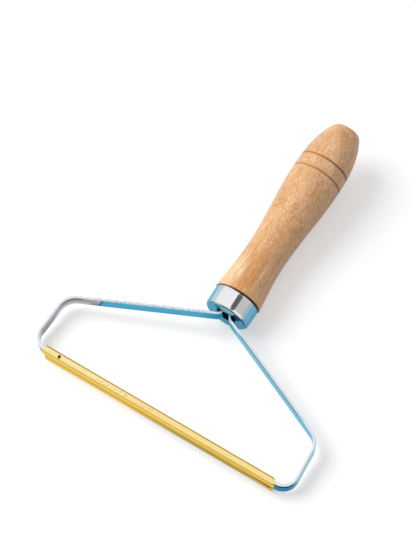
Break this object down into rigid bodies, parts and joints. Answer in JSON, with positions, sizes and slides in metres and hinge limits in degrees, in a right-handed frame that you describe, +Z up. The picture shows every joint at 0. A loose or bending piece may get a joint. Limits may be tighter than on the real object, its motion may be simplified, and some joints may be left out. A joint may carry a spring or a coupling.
{
  "type": "pet hair lint remover",
  "caption": "Hand scraper for pet hair: folded brass head on a bent flat steel loop, held by a chromed cap in a turned wood handle with burned grooves.",
  "frame": {"origin": "on the table under the middle of the tool as it lies, resting on the head's lower fold and the cap's front rim", "axes": "+Y from the head towards the handle's end, the longest way; +Z up from the table, the shortest; +X along the head"},
  "size_m": [0.141, 0.1732, 0.0332],
  "materials": {
    "wood": "thin satin lacquer over light hardwood with a fine grain along the handle",
    "chrome_cap": "bright chrome plating",
    "plated_strip": "bright cool blue plating, silvery on the cut edges",
    "brass_sheet": "bright rolled brass with fine lines along its length",
    "glue": "set adhesive"
  },
  "bodies": {
    "root": {"handle": "wood", "ferrule": "chrome_cap", "frame_strip": "plated_strip", "blade_head": "brass_sheet", "glue_plug": "glue"}
  },
  "joints": []
}
